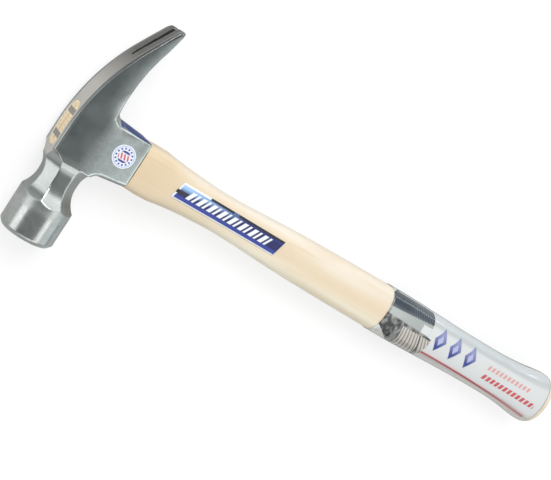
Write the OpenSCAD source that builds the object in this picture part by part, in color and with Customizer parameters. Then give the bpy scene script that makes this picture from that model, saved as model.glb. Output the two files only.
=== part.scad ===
// Framing hammer with a straight rip claw and a wooden handle, lying on its side.
// +X runs from the head to the butt, +Y to the claw tips and +Z out of the upper cheek.
// Lengths are in millimetres. Places along X are measured from the poll's axis.

/* [Overall] */
// Length of the whole hammer, from the upper side of its head to the butt
overall_len = 406.4; // [330:0.1:460]
// Distance from the middle of the striking face to the handle's centre line
poll_reach = 64.5; // [58:0.1:75]
// Distance from the claw tips to the handle's centre line
claw_reach = 73.6; // [66:0.1:82]

/* [Poll] */
// Diameter of the striking face's cylinder
bell_d = 31.75; // [29:0.05:36]
// Height of the striking face's crown
face_crown = 0.9; // [0.4:0.1:1.6]
// Width of the face's bevel, measured along the radius
face_bevel = 1.9; // [1:0.1:3]
// Length of the face's bevel, measured along the poll
face_bevel_len = 2.3; // [1.2:0.1:3.5]
// Width across the flats of the eight-sided neck at its narrowest
neck_flats = 20.8; // [18:0.1:24]
// Distance from the narrowest place of the neck to the handle's centre line
neck_reach = 28.5; // [26:0.1:31]
// How much further out the neck is narrowest at the crown, and further in at the adze
neck_lean = 0.9; // [0:0.1:1.5]
// How far the neck's axis lies from the poll's axis, towards the crown
neck_rise = 1.4; // [0:0.05:2]
// Length of the neck's straight part at the cheeks
neck_run = 4.4; // [2:0.1:6]
// Radius of the wheel that ground the flats down to the bell
bell_grind_r = 18.8; // [16:0.2:24]
// Radius of the wheel that ground the flats up to the crown, the cheeks and the eye
top_grind_r = 13; // [11:0.2:16]

/* [Cheeks and eye] */
// Distance from the poll's axis up to the crown
crown_height = 15.1; // [14:0.1:17]
// Thickness of the head over its two cheeks
cheek_w = 24.6; // [22:0.1:28]
// Distance from the poll's axis to the end of the adze eye
adze_len = 29.7; // [25:0.1:35]
// Depth of the adze eye at the poll's axis
adze_root_h = 35.4; // [33:0.1:38]
// Depth of the adze eye at its end
adze_end_h = 28.8; // [27:0.1:31]
// Thickness of the adze eye at its end
adze_end_w = 21.8; // [20:0.1:23.5]
// Where the cheeks start to taper, from the poll's axis
taper_start = 1.5; // [-2:0.1:5]
// Radius of the corners between the adze eye and its neighbours
fillet_r = 5.2; // [4:0.1:6.5]
// Half thickness of the flat part on the two rounded sides of the adze eye
side_flat = 4.2; // [2:0.1:6]
// How far the sides of the adze eye fall away from there to the cheeks
side_fall = 2.3; // [1:0.1:3]
// How far its claw side has fallen away at the end of the adze
side_end_fall = 0.3; // [0:0.1:2]
// How far the middle of the fall under the claw lies below the middle of the claw's arc
side_shift = 4.5; // [3:0.1:6]
// Width of the bevel on the head's edges
edge_bevel = 0.7; // [0.4:0.1:1.6]

/* [Claw] */
// Radius of the claw's upper side
claw_top_r = 126; // [110:1:140]
// Distance from the start of that arc to the handle's centre line, on the poll side
claw_turn = 3; // [1:0.1:5]
// Angle by which the claw drops from the line of the crown
claw_angle = 28.3; // [25:0.1:31]
// Distance from the poll's axis to the highest place under the claw
claw_under = 5.4; // [3:0.1:6.5]
// Distance from the highest place under the claw to the handle's centre line
claw_under_reach = 34; // [31:0.5:37]
// Radius of the claw's lower side
claw_under_r = 100; // [85:1:115]
// Thickness of the claw at its tips
tip_t = 2.5; // [1.8:0.1:3.2]
// Radius of the outer corners of the tips
tip_r = 4.2; // [2:0.1:4.6]
// Radius of the inner corners of the tips, at the slot's mouth
mouth_r = 2.4; // [1:0.1:3.4]
// Width of the nail slot at the tips
slot_mouth = 5; // [4:0.1:7]
// Width of the nail slot at its root
slot_root = 2.2; // [1.8:0.1:3.4]
// Length of the nail slot
slot_len = 24.5; // [20:0.5:32]

/* [Eye and wedges] */
// Width of the eye across the cheeks
eye_w = 15.6; // [13:0.1:16.4]
// Length of the eye at the crown
eye_crown_len = 27.6; // [26:0.1:29]
// Length of the eye at the end of the adze
eye_end_len = 20.8; // [19:0.1:22]
// Clearance between the tenon and the eye, and between the wedges and their slots
fit_gap = 0.05; // [0.03:0.01:0.1]
// How far the tenon and the wedges stay under the crown
flush_gap = 0.15; // [0.05:0.05:0.4]
// Thickness of the wooden wedge at the crown
wood_wedge_t = 2.4; // [1.6:0.1:3]
// Depth of the wooden wedge
wood_wedge_depth = 32; // [26:0.5:36]
// Length of the wooden wedge, along the eye
wood_wedge_len = 21; // [17:0.1:22]
// Thickness of the steel wedges at the crown
steel_wedge_t = 3.2; // [2.4:0.1:4]
// Depth of the steel wedges
steel_wedge_depth = 20; // [14:0.5:23]
// Distance between the two steel wedges
steel_wedge_pitch = 14.4; // [12:0.1:16]
// Width of the steel wedges
steel_wedge_w = 13.4; // [11:0.1:14]

/* [Handle] */
// Depth of the handle against the adze
joint_h = 28.2; // [26:0.1:30]
// Depth of the bulge behind the adze
bulge_h = 29.3; // [27:0.1:31]
// Depth of the handle's neck
throat_h = 23.1; // [20:0.1:26]
// Depth of the grip's swell
swell_h = 31.8; // [29:0.1:34]
// Depth of the grip's waist
waist_h = 30; // [28:0.1:33]
// Depth of the butt
butt_h = 37.6; // [34:0.1:40]
// Thickness of the handle against the adze
joint_w = 22; // [20:0.1:24]
// Thickness of the handle's neck
throat_w = 19; // [16:0.1:22]
// Thickness of the grip's swell
swell_w = 25; // [22:0.1:28]
// Thickness of the grip's waist
waist_w = 24; // [21:0.1:27]
// Thickness of the butt
butt_w = 28.4; // [25:0.1:30]
// Radius of the butt's rounded rim
butt_rim_r = 5; // [3:0.1:7]

/* [Sleeve and labels] */
// Distance from the poll's axis to the start of the grip sleeve
sleeve_start = 222.5; // [200:0.5:250]
// Bare wood between the sleeve's end and the butt
sleeve_setback = 6.5; // [5.5:0.1:12]
// Thickness of the sleeve
sleeve_t = 0.4; // [0.3:0.05:0.8]
// Distance from the poll's axis to the middle of the handle label
label_mid = 93.5; // [85:0.5:120]
// Distance from the label's middle to the handle's centre line
label_rise = 0.8; // [0:0.1:2]
// Length of the handle label along its middle
label_len = 75.5; // [50:0.5:80]
// Width of the handle label, measured round the handle
label_w = 10.8; // [8:0.1:14]
// How far the label's ends lean from one edge to the other
label_lean = 3; // [0:0.5:8]
// Thickness of the labels
label_t = 0.2; // [0.15:0.05:0.4]
// Diameter of the round sticker
sticker_d = 13.3; // [10:0.1:16]
// Distance from the poll's axis to the middle of the sticker
sticker_mid = 19.2; // [16:0.1:21]
// Distance from the sticker's middle to the handle's centre line
sticker_rise = 1.3; // [0:0.1:3]
// Gap that the glue fills under the sleeve and the labels
glue_gap = 0.06; // [0.05:0.01:0.12]

/* [Hidden] */

// Overrun of cuts
over = 1;
// Facets of small and of large round shapes
small_fn = 64;
large_fn = 360;

bell_r = bell_d / 2;
crown_x = -crown_height;
head_x = min(crown_x, -bell_r);
butt_x = overall_len + head_x;
cheek_z = cheek_w / 2;
neck_z = neck_flats / 2;
// The row's origin lies under the middle of the whole hammer
origin_x = (butt_x + head_x) / 2;
origin_y = (claw_reach - poll_reach) / 2;

// Upper side of the claw: an arc that leaves the crown's line, then a straight run
top_centre = [crown_x + claw_top_r, -claw_turn];
top_end = top_centre + claw_top_r * [-cos(claw_angle), sin(claw_angle)];
tip_x = top_end.x + (claw_reach - top_end.y) * tan(claw_angle);
tip_low_x = tip_x + tip_t / cos(claw_angle);
// Lower side of the claw: an arc, then a straight run to the tips
under_centre = [claw_under + claw_under_r, claw_under_reach];
under_sweep = 14.5;
under_end = under_centre + claw_under_r * [-cos(under_sweep), sin(under_sweep)];

// Slot for nails: half its taper, the middle of its round root, and its half width at a place
slot_taper = atan((slot_mouth - slot_root) / 2 / slot_len);
slot_root_r = slot_root / 2;
slot_root_y = claw_reach - slot_len + slot_root_r;
function slot_half(y) = slot_root_r / cos(slot_taper) + (y - slot_root_y) * tan(slot_taper);

// The adze eye's sides, and the middles of the fillets beside it
adze_angle = atan((adze_root_h - adze_end_h) / 2 / adze_len);
function adze_half(x) = adze_root_h / 2 - x * tan(adze_angle);
// Middle of a circle of radius r that touches the side of the adze from outside,
// and the circle of radius R round c from inside
function fillet_middle(r, c, R) =
    let(
        dir = [cos(adze_angle), -sin(adze_angle)],
        out = [sin(adze_angle), cos(adze_angle)],
        q = [0, adze_root_h / 2] + r * out,
        b = dir * (q - c),
        d = (q - c) * (q - c) - pow(R - r, 2)
    )
    q + (-b - sqrt(b * b - d)) * dir;
// Straight part of each of the neck's flats as a share of neck_run, from the upper cheek round
// by the adze, and the places where its two wheels touch it
run_shares = [1, 0.9, 0.25, 0.9, 1, 0.9, 0.25, 0.9];
function waist_reach(i) = neck_reach - neck_lean * sin(45 * i);
function top_reach(i) = waist_reach(i) - neck_run * run_shares[i];
grind_middle = [neck_z - neck_rise + top_grind_r, top_reach(2)];
claw_fillet = fillet_middle(fillet_r, under_centre, claw_under_r);
poll_fillet = fillet_middle(fillet_r, grind_middle, top_grind_r);
// Slope of the line from the claw's fillet to the middle of the claw's lower arc
root_rise = (under_centre.y - claw_fillet.y) / (claw_under_r - fillet_r);
// How far the cutter of the fall under the claw stays off the claw's flat middle there
root_clear = 0.15;
taper_angle = atan((cheek_w - adze_end_w) / 2 / (adze_len - taper_start));
function cheek_at(x) = cheek_z - max(0, x - taper_start) * tan(taper_angle);

// Eye: half its length at a place along the handle
eye_angle = atan((eye_crown_len - eye_end_len) / 2 / (adze_len - crown_x));
function eye_half(x) = eye_end_len / 2 + (adze_len - x) * tan(eye_angle);

// Handle: each row is a share of the way from the adze to the butt, a depth, a thickness
// and how square the section is, from 2 for an ellipse upwards
handle_x = adze_len + flush_gap;
handle_len = butt_x - handle_x;
joint_square = 4.2;
throat_square = 2.9;
grip_square = 2.35;
butt_square = 2.15;
bulge_w = (joint_w + swell_w) / 2;
// How much of the change from the throat to the swell, and from the waist to the butt, is done
rise_shares = [0.14, 0.48, 0.70, 0.91];
flare_shares = [0.06, 0.36, 0.78];
handle_rows = [
    [0.000, joint_h, joint_w, joint_square],
    [0.016, (joint_h + 2 * bulge_h) / 3, (joint_w + bulge_w) / 2, joint_square],
    [0.032, bulge_h, (joint_w + bulge_w) / 2, joint_square],
    [0.062, (throat_h + 2 * bulge_h) / 3, joint_w, (joint_square + throat_square) / 2],
    [0.098, (2 * throat_h + bulge_h) / 3, (joint_w + throat_w) / 2, throat_square],
    [0.165, throat_h, throat_w, throat_square],
    each [for (i = [0:3]) [
        [0.222, 0.296, 0.372, 0.500][i],
        throat_h + rise_shares[i] * (swell_h - throat_h),
        throat_w + rise_shares[i] * (swell_w - throat_w),
        throat_square + rise_shares[i] * (grip_square - throat_square)]],
    [0.590, swell_h, swell_w, grip_square],
    [0.680, (swell_h + waist_h) / 2, (swell_w + waist_w) / 2, grip_square],
    [0.765, waist_h, waist_w, grip_square],
    each [for (i = [0:2]) [
        [0.850, 0.907, 0.945][i],
        waist_h + flare_shares[i] * (butt_h - waist_h),
        waist_w + flare_shares[i] * (butt_w - waist_w),
        grip_square + flare_shares[i] * (butt_square - grip_square)]],
    [0.972, butt_h, butt_w, butt_square],
    [1.000, butt_h, butt_w, butt_square]
];

// Value of column c of the handle's rows at share s, smooth and without overshoot
function slope(c, i) =
    let(
        last = len(handle_rows) - 1,
        a = i == 0 ? 0 : (handle_rows[i][c] - handle_rows[i - 1][c])
            / (handle_rows[i][0] - handle_rows[i - 1][0]),
        b = i == last ? 0 : (handle_rows[i + 1][c] - handle_rows[i][c])
            / (handle_rows[i + 1][0] - handle_rows[i][0])
    )
    i == 0 ? b : i == last ? a : a * b <= 0 ? 0 : 2 * a * b / (a + b);
function row_below(s) =
    max([for (i = [0:len(handle_rows) - 2]) if (i == 0 || handle_rows[i][0] <= s) i]);
function handle_value(c, s) =
    let(
        i = row_below(s),
        p = handle_rows[i],
        q = handle_rows[i + 1],
        w = q[0] - p[0],
        t = (s - p[0]) / w
    )
    (2 * pow(t, 3) - 3 * t * t + 1) * p[c] + (pow(t, 3) - 2 * t * t + t) * w * slope(c, i)
    + (3 * t * t - 2 * pow(t, 3)) * q[c] + (pow(t, 3) - t * t) * w * slope(c, i + 1);

// Inset of the section near the rounded rim of the butt
function rim_inset(x) =
    let(d = x - (butt_x - butt_rim_r))
    d <= 0 ? 0 : butt_rim_r - sqrt(max(0, butt_rim_r * butt_rim_r - d * d));
// Point of the handle's surface at place x and angle a, moved out by g
function signed_power(v, e) = sign(v) * pow(abs(v), e);
function handle_point(x, a, g) =
    let(
        s = (x - handle_x) / handle_len,
        e = 2 / handle_value(3, s),
        h = handle_value(1, s) / 2 + g - rim_inset(x),
        w = handle_value(2, s) / 2 + g - rim_inset(x)
    )
    [x, h * signed_power(cos(a), e), w * signed_power(sin(a), e)];

// Places of the handle's rings and the number of points in a ring
ring_points = 40;
body_rings = 46;
rim_rings = 6;
rim_start = butt_x - butt_rim_r;
ring_places = [
    for (i = [0:body_rings]) handle_x + (rim_start - handle_x) * i / body_rings,
    for (i = [1:rim_rings]) rim_start + butt_rim_r * sin(90 * i / rim_rings)
];
sleeve_end = butt_x - sleeve_setback;
sleeve_places = [
    sleeve_start,
    for (x = ring_places) if (x > sleeve_start + over && x < sleeve_end - over) x,
    sleeve_end
];
label_steps = 18;
label_columns = 8;

// Closed skin over rings of points, each ring with the same number of points
module loft(rings) {
    n = len(rings[0]);
    m = len(rings);
    polyhedron(
        points = [for (r = rings) each r],
        faces = [
            [for (j = [0:n - 1]) j],
            [for (j = [n - 1:-1:0]) (m - 1) * n + j],
            for (i = [0:m - 2], j = [0:n - 1])
                let(a = i * n + j, b = i * n + (j + 1) % n)
                each [[a, a + n, b], [b, a + n, b + n]]
        ]
    );
}

// Closed skin over the rings of a tube, from its outer rings to its inner rings
module tube_loft(outer, inner) {
    n = len(outer[0]);
    m = len(outer);
    rings = [each outer, for (i = [m - 1:-1:0]) inner[i]];
    k = 2 * m;
    polyhedron(
        points = [for (r = rings) each r],
        faces = [for (i = [0:k - 1], j = [0:n - 1])
            let(a = i * n + j, b = i * n + (j + 1) % n, c = (i + 1) % k * n + j,
                d = (i + 1) % k * n + (j + 1) % n)
            each [[a, c, b], [b, c, d]]]
    );
}

// Moves a piece from the poll's axis to the row's origin
module place() {
    translate([-origin_x, -origin_y, bell_r]) children();
}

// Cutter of a bevel along the edge from p to q, on its upper side: it starts drop below the
// edge and ends fall inwards of it. The solid lies to the right of the way from p to q.
module edge_cut(p, q, drop, fall) {
    way = q - p;
    run = norm(way);
    reach = 3 * max(drop, fall);
    translate(p) rotate([0, -asin(way.z / run), atan2(way.y, way.x)])
        translate([-over, 0, -drop]) rotate([atan2(fall, drop), 0, 0])
            translate([0, 0, -reach]) cube([run + 2 * over, reach, 2 * reach]);
}
// The same, but from the edge from p to q down to the point c outside of it
module lean_cut(p, q, c) {
    way = (q - p) / norm(q - p);
    turn = atan2(way.y, way.x);
    out = [-sin(turn), cos(turn), 0];
    up = cross(way, out);
    reach = cheek_w;
    translate(p) rotate([0, -asin(way.z), turn])
        rotate([atan2((c - p) * out, (p - c) * up), 0, 0])
            translate([-over / 2, 0, -reach]) cube([norm(q - p) + 2 * over, reach, 2 * reach]);
}
module both_sides() {
    children();
    mirror([0, 0, 1]) children();
}

// Cylinder along Z with bevelled rims
module bevel_disc(r, half, b) {
    rotate_extrude($fn = large_fn)
        polygon([[0, -half], [r - b, -half], [r, b - half], [r, half - b], [r - b, half], [0, half]]);
}
// Cutter whose waist leaves a bevel b on the edges of a plate of half thickness half
module spool(r, half, b) {
    far = r + b + over;
    rotate_extrude($fn = large_fn)
        polygon([
            [0, -half - over], [far, -half - over], [r, b - half], [r, half - b],
            [far, half + over], [0, half + over]
        ]);
}
// Cutter that lets the side of such a plate fall away by fall, from half thickness flat on
module fall_disc(r, half, flat, fall) {
    far = r + fall * (half + over - flat) / (half - flat);
    rotate_extrude($fn = large_fn)
        polygon([
            [0, -half - over], [far, -half - over], [r, -flat], [r, flat], [far, half + over],
            [0, half + over]
        ]);
}
// Both in one: the side falls away, and its edge has the bevel b
module fall_spool(r, half, flat, fall, b) {
    far = r + fall + b + over;
    low = half - b / (1 - fall / (half - flat));
    low_r = r + fall * (low - flat) / (half - flat);
    rotate_extrude($fn = large_fn)
        polygon([
            [0, -half - over], [far, -half - over], [r + fall + b, -half], [low_r, -low],
            [r, -flat], [r, flat], [low_r, low], [r + fall + b, half], [far, half + over],
            [0, half + over]
        ]);
}

// Cuts that grind flat i of the neck: down to the bell, straight, and up to the crown
module grind(i) {
    low_y = -waist_reach(i);
    top_y = -top_reach(i);
    wide = 2 * cheek_w;
    deep = 2 * bell_grind_r;
    translate([-neck_rise, 0, 0]) rotate([0, 45 * i, 0]) translate([0, 0, neck_z]) {
        intersection() {
            translate([0, low_y, bell_grind_r]) rotate([0, 90, 0])
                cylinder(r = bell_grind_r, h = wide, center = true, $fn = large_fn);
            translate([-wide, low_y - deep, -over]) cube([2 * wide, deep, 2 * deep]);
        }
        translate([-wide / 2, low_y, 0]) cube([wide, top_y - low_y, deep]);
        intersection() {
            translate([0, top_y, top_grind_r]) rotate([0, 90, 0])
                cylinder(r = top_grind_r, h = wide, center = true, $fn = large_fn);
            translate([-wide, top_y, -over]) cube([2 * wide, deep, 2 * deep]);
        }
    }
}

// Striking face, bell and the lower half of the neck, turned about the poll's axis
module poll() {
    face_y = poll_reach - face_crown;
    dome_a = bell_r - face_bevel;
    dome_r = (dome_a * dome_a + face_crown * face_crown) / (2 * face_crown);
    difference() {
        rotate([90, 0, 0]) rotate_extrude($fn = large_fn)
            intersection() {
                polygon([
                    [0, neck_reach], [bell_r, neck_reach], [bell_r, face_y - face_bevel_len],
                    [bell_r - face_bevel, face_y], [bell_r - face_bevel, poll_reach + over],
                    [0, poll_reach + over]
                ]);
                translate([0, poll_reach - dome_r]) circle(r = dome_r, $fn = 4 * large_fn);
            }
        for (i = [0:7]) grind(i);
    }
}

// Crown part of the head between the neck and the start of the claw
module crown_block() {
    block_x = claw_fillet.x;
    difference() {
        translate([crown_x, -neck_reach, -cheek_z])
            cube([block_x - crown_x, neck_reach - claw_turn, cheek_w]);
        both_sides() edge_cut(
            [crown_x, -neck_reach, cheek_z], [crown_x, -claw_turn, cheek_z],
            edge_bevel, edge_bevel);
        for (i = [0:7]) grind(i);
    }
}

// Claw without its slot, from the crown to the tips
module claw_blank() {
    arc_len = top_end.y + claw_turn;
    block_x = claw_fillet.x;
    difference() {
        union() {
            intersection() {
                translate([top_centre.x, top_centre.y, 0])
                    bevel_disc(claw_top_r, cheek_z, edge_bevel);
                translate([crown_x - over, -claw_turn, -cheek_w])
                    cube([block_x - crown_x + over, arc_len, 2 * cheek_w]);
            }
            intersection() {
                difference() {
                    translate([0, 0, -cheek_z]) linear_extrude(height = cheek_w)
                        polygon([
                            top_end, [tip_x, claw_reach], [tip_low_x, claw_reach], under_end,
                            [under_end.x, top_end.y]
                        ]);
                    both_sides() edge_cut(
                        [top_end.x, top_end.y, cheek_z], [tip_x, claw_reach, cheek_z],
                        edge_bevel, edge_bevel);
                }
                tine_plan();
            }
        }
        translate([under_centre.x, under_centre.y, 0])
            spool(claw_under_r, cheek_z, edge_bevel);
        translate([under_centre.x, under_centre.y - side_shift, 0])
            fall_disc(
                claw_under_r - side_shift * root_rise - root_clear, cheek_z, side_flat, side_fall);
    }
}

// Outline of the claw seen from above, with its rounded corners
module tine_plan() {
    corner_y = claw_reach - tip_r;
    corner_z = cheek_z - tip_r;
    rotate([90, 0, 90]) translate([0, 0, crown_x])
        linear_extrude(height = 2 * claw_reach) {
            translate([0, -cheek_z]) square([corner_y, cheek_w]);
            translate([0, -corner_z]) square([claw_reach, 2 * corner_z]);
            for (s = [-1, 1]) translate([corner_y, s * corner_z])
                circle(r = tip_r, $fn = small_fn);
        }
}

// V-shaped nail slot with a round root and rounded corners at its mouth
module nail_slot() {
    steps = 12;
    turn = 90 + slot_taper;
    round_y = claw_reach - mouth_r;
    end_y = claw_reach + over;
    side = [
        for (i = [0:steps]) let(a = 90 * i / steps)
            [round_y + mouth_r * sin(a), slot_half(round_y) + mouth_r * (1 - cos(a))],
        [end_y, slot_half(round_y) + mouth_r]
    ];
    rotate([90, 0, 90]) translate([0, 0, 2 * crown_x])
        linear_extrude(height = 2 * claw_reach)
            polygon([
                for (i = [0:steps]) let(a = 180 - turn + 2 * turn * i / steps)
                    [slot_root_y + slot_root_r * cos(a), slot_root_r * sin(a)],
                for (i = [0:steps + 1]) [side[i].x, -side[i].y],
                for (i = [steps + 1:-1:0]) side[i]
            ]);
}

// Web of a fillet beside the adze eye: from the middle of its circle to the two places it touches
module fillet_web(middle, c) {
    side = middle - fillet_r * [sin(adze_angle), cos(adze_angle)];
    back = middle + fillet_r * (middle - c) / norm(middle - c);
    difference() {
        polygon([back, middle, side, [side.x, 0], [0, 0], [0, back.y]]);
        translate(middle) circle(r = fillet_r, $fn = 2 * small_fn);
    }
}

// Point inset from the edge of the adze's side at place x: the claw side for s = 1, the poll
// side for s = -1
function adze_edge(x, s, inset) =
    [x, s * (adze_half(x) - inset), cheek_z - (x - taper_start) * tan(taper_angle)];

// Adze eye with the fillets to the claw and to the neck
module adze() {
    near_half = adze_half(0);
    end_half = adze_half(adze_len);
    fillet_z = cheek_at(claw_fillet.x);
    claw_root = adze_edge(claw_fillet.x, 1, side_fall);
    claw_end = adze_edge(adze_len, 1, side_end_fall);
    difference() {
        translate([0, 0, -cheek_z]) linear_extrude(height = cheek_w) {
            polygon([
                [0, -near_half], [adze_len, -end_half], [adze_len, end_half], [0, near_half]
            ]);
            fillet_web(claw_fillet, under_centre);
            mirror([0, 1]) fillet_web(poll_fillet, grind_middle);
        }
        both_sides() {
            edge_cut(adze_edge(adze_len, -1, 0), adze_edge(poll_fillet.x, -1, 0),
                fillet_z - side_flat, side_fall);
            edge_cut(adze_edge(adze_len, -1, side_fall), adze_edge(poll_fillet.x, -1, side_fall),
                edge_bevel, edge_bevel);
            lean_cut(claw_root, claw_end, [claw_fillet.x, adze_half(claw_fillet.x), side_flat]);
            edge_cut(claw_root, claw_end, edge_bevel, edge_bevel);
            edge_cut(adze_edge(adze_len, 1, 0), adze_edge(adze_len, -1, 0),
                edge_bevel / 2, edge_bevel / 2);
        }
        translate([claw_fillet.x, claw_fillet.y, 0])
            fall_spool(fillet_r, fillet_z, side_flat, side_fall, edge_bevel);
        translate([poll_fillet.x, -poll_fillet.y, 0])
            fall_spool(fillet_r, cheek_at(poll_fillet.x), side_flat, side_fall, edge_bevel);
        for (i = [0, 4]) grind(i);
    }
}

// Space inside the eye, made smaller all round by g
module eye_space(g) {
    r = eye_w / 2 - g;
    low_x = adze_len + over;
    top_x = crown_x - over;
    low = eye_half(low_x) - g - r;
    top = eye_half(top_x) - g - r;
    run = norm([low_x - top_x, top - low]);
    translate([0, 0, -r]) linear_extrude(height = 2 * r)
        polygon([[top_x, -top], [low_x, -low], [low_x, low], [top_x, top]]);
    for (s = [-1, 1])
        translate([top_x, s * top, 0]) rotate([0, 0, -s * atan2(top - low, low_x - top_x)])
            rotate([0, 90, 0]) translate([0, 0, -over]) cylinder(r = r, h = run + 2 * over, $fn = small_fn);
}

// All that lies below the crown and the claw's upper side by g
module under_crown(g) {
    half = eye_w;
    translate([top_centre.x, top_centre.y, -half])
        cylinder(r = claw_top_r - g, h = 2 * half, $fn = large_fn);
    translate([crown_x + g, -poll_reach, -half])
        cube([2 * claw_reach, poll_reach - claw_turn, 2 * half]);
}

module head_shape() {
    difference() {
        union() {
            poll();
            difference() {
                union() {
                    crown_block();
                    claw_blank();
                    adze();
                }
                both_sides() translate([taper_start, -poll_reach, cheek_z])
                    rotate([0, taper_angle, 0]) cube([2 * claw_reach, 3 * poll_reach, cheek_z]);
            }
        }
        nail_slot();
        eye_space(0);
    }
}

// Slot or wedge that tapers with depth: thickness t at the crown, width w, depth d
// It is grown by g all round, and lies square to the crown.
module wedge_shape(t, w, d, g) {
    tip_share = 0.3;
    top_x = crown_x - 2 * over;
    slope_t = (1 - tip_share) * t / 2 / d;
    wide = t / 2 + g + 2 * over * slope_t;
    narrow = t * tip_share / 2 + g;
    translate([0, 0, -w / 2 - g]) linear_extrude(height = w + 2 * g)
        polygon([
            [top_x, -wide], [crown_x + d + g, -narrow], [crown_x + d + g, narrow], [top_x, wide]
        ]);
}
// Wooden wedge along the eye, grown by g
module wood_wedge_shape(g) {
    rotate([90, 0, 0]) wedge_shape(wood_wedge_t, wood_wedge_len, wood_wedge_depth, g);
}
// Steel wedge across the eye, grown by g: on the poll side for s = -1, the claw side for 1
module steel_wedge_shape(s, g) {
    translate([0, s * steel_wedge_pitch / 2, 0])
        wedge_shape(steel_wedge_t, steel_wedge_w, steel_wedge_depth, g);
}

module hammer_head() {
    color("silver") place() head_shape();
}

module handle() {
    color("burlywood") place() {
        difference() {
            union() {
                loft([for (x = ring_places)
                    [for (j = [0:ring_points - 1]) handle_point(x, 360 * j / ring_points, 0)]]);
                intersection() {
                    eye_space(fit_gap);
                    under_crown(flush_gap);
                    translate([2 * crown_x, -adze_root_h, -eye_w])
                        cube([handle_x + over - 2 * crown_x, 2 * adze_root_h, 2 * eye_w]);
                }
            }
            wood_wedge_shape(fit_gap);
            for (s = [-1, 1]) steel_wedge_shape(s, fit_gap);
        }
    }
}

module wood_wedge() {
    color("tan") place() difference() {
        intersection() {
            wood_wedge_shape(0);
            under_crown(flush_gap);
        }
        for (s = [-1, 1]) steel_wedge_shape(s, fit_gap);
    }
}

module steel_wedge(s) {
    color("gray") place() intersection() {
        steel_wedge_shape(s, 0);
        under_crown(flush_gap);
    }
}
module steel_wedge_poll_side() {
    steel_wedge(-1);
}
module steel_wedge_claw_side() {
    steel_wedge(1);
}

module grip_sleeve() {
    color("gainsboro") place()
        tube_loft(
            [for (x = sleeve_places) [for (j = [0:ring_points - 1])
                handle_point(x, 360 * j / ring_points, glue_gap + sleeve_t)]],
            [for (x = sleeve_places) [for (j = [0:ring_points - 1])
                handle_point(x, 360 * j / ring_points, glue_gap)]]
        );
}

// Label wrapped on the upper side of the handle, as a plate of crossing strips
module handle_label() {
    color("navy") place()
        loft([for (i = [0:label_steps])
            let(x0 = label_mid + (i / label_steps - 0.5) * label_len)
            [
                for (j = [0:label_columns]) label_point(x0, j, glue_gap),
                for (j = [label_columns:-1:0]) label_point(x0, j, glue_gap + label_t)
            ]]);
}
// Point of the label's column j: over the upper side of the handle by g, with its middle at x0
function label_point(x0, j, g) =
    let(
        share = j / label_columns - 0.5,
        x = x0 + share * label_lean,
        y = label_rise + share * label_w,
        s = (x - handle_x) / handle_len,
        n = handle_value(3, s),
        h = handle_value(1, s) / 2,
        w = handle_value(2, s) / 2
    )
    [x, y, w * pow(1 - pow(abs(y) / h, n), 1 / n) + g];

module cheek_sticker() {
    color("white") place()
        translate([taper_start, sticker_rise, cheek_z]) rotate([0, taper_angle, 0])
            translate([sticker_mid - taper_start, 0, 0])
                cylinder(d = sticker_d, h = label_t, $fn = small_fn);
}

hammer_head();
handle();
wood_wedge();
steel_wedge_poll_side();
steel_wedge_claw_side();
grip_sleeve();
handle_label();
cheek_sticker();
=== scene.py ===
"""Looks of a framing hammer with a straight rip claw, built around its CAD frame."""
import logging
import math
from dataclasses import dataclass
from enum import Enum
from typing import Any, Callable, Dict, List, Optional, Sequence, Tuple, Union

import bmesh
import bpy
from mathutils import Matrix, Vector

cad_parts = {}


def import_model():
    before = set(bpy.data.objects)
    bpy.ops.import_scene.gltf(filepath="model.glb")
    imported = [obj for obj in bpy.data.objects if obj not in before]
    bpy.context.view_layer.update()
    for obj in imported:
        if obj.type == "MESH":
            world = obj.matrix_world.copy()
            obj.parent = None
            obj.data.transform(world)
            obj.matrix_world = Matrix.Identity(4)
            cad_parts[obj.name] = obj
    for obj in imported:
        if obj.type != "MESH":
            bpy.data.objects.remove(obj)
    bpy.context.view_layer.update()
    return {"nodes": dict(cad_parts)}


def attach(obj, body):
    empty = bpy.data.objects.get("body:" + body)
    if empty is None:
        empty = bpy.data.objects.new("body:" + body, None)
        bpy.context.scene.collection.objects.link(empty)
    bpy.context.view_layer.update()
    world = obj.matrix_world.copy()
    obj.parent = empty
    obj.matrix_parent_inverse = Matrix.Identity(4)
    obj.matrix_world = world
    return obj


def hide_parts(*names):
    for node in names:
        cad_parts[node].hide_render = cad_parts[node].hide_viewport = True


LOG = logging.getLogger("hammer")
Object = bpy.types.Object
Material = bpy.types.Material
Socket = bpy.types.NodeSocket
Pair = Tuple[float, float]
Point = Tuple[float, float, float]
Colour = Tuple[float, float, float]
# Depth, thickness and squareness of the handle's section, or half of the first two
Section = Tuple[float, float, float]
# Middle of a mask's soft edge and the edge's width
Edge = Tuple[float, float]
# Start and end of a mask and the width of its soft edges
Span = Tuple[float, float, float]

MM = 0.001
# From the design's zero, on the poll's axis, to the frame's origin, in millimetres
SHIFT = Vector((-187.325, -4.55, 15.875))
# Corners that are closer than this, in metres, are one
WELD = MM / 500
# Faces within this angle, in degrees, are one
FLAT = 0.05


def place(x: float, y: float, z: float) -> Vector:
    """Place in the frame, in metres, of a point of the design in millimetres."""
    return (Vector((x, y, z)) + SHIFT) * MM


def unit(value: float) -> float:
    """The value kept between 0 and 1."""
    return min(max(value, 0.0), 1.0)


def ease(value: float) -> float:
    """Smooth step from 0 to 1."""
    share = unit(value)
    return share * share * (3 - 2 * share)


def grey(share: float) -> Colour:
    """Linear grey."""
    return (share, share, share)


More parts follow.
